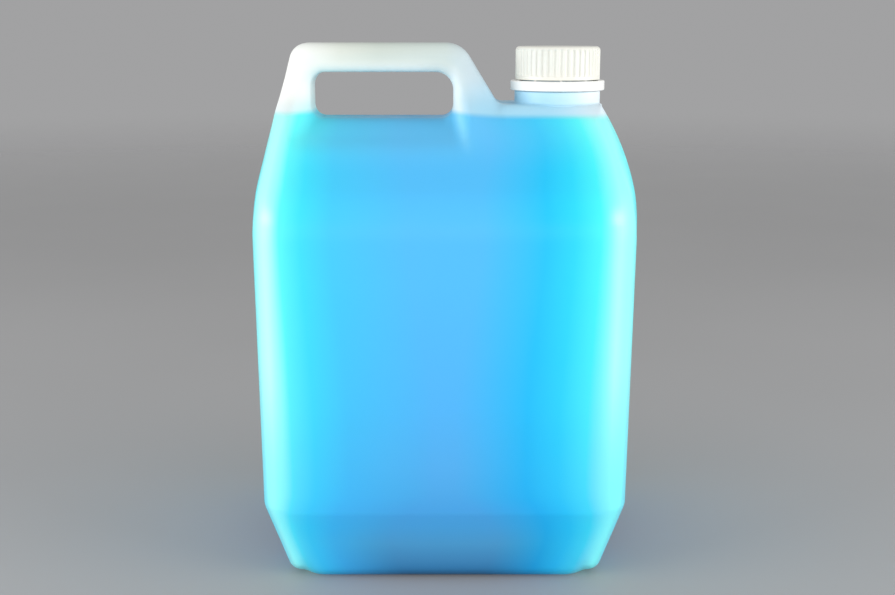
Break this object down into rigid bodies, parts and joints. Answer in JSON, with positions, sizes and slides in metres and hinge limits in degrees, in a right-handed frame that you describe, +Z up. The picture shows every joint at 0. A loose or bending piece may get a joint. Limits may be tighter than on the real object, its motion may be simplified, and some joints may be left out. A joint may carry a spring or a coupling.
{
  "type": "floor cleaner bottle",
  "caption": "Translucent blown canister bottle with a hollow side handle, screw cap with tear-off band, and blue liquid inside.",
  "frame": {"origin": "middle of the base, on the surface it stands on", "axes": "+Z up, +X from the handle's side towards the neck's side, -Y towards the front panel"},
  "size_m": [0.1809, 0.143, 0.2585],
  "materials": {
    "bottle": "satin, milky translucent",
    "liquid": "clear blue liquid",
    "tamper_band": "smooth white",
    "sealing_wad": "soft white foam",
    "cap": "smooth white, fine grooves"
  },
  "bodies": {
    "bottle": {"bottle": "bottle", "liquid": "liquid", "tamper_band": "tamper_band"},
    "wad": {"sealing_wad": "sealing_wad"},
    "cap": {"cap": "cap"}
  },
  "joints": [
    {"name": "cap_lift", "type": "slide", "parent": "bottle", "child": "wad", "axis": [0, 0, 1], "range_m": [0, 0.0145]},
    {"name": "cap_turn", "type": "hinge", "parent": "wad", "child": "cap", "pos_m": [0.05655, 0, 0.245], "axis": [0, 0, 1], "range_deg": [0, 1260]}
  ],
  "couplings": [
    {"joint": "cap_lift", "follows": "cap_turn", "m_per_rad": 0.00063662}
  ]
}
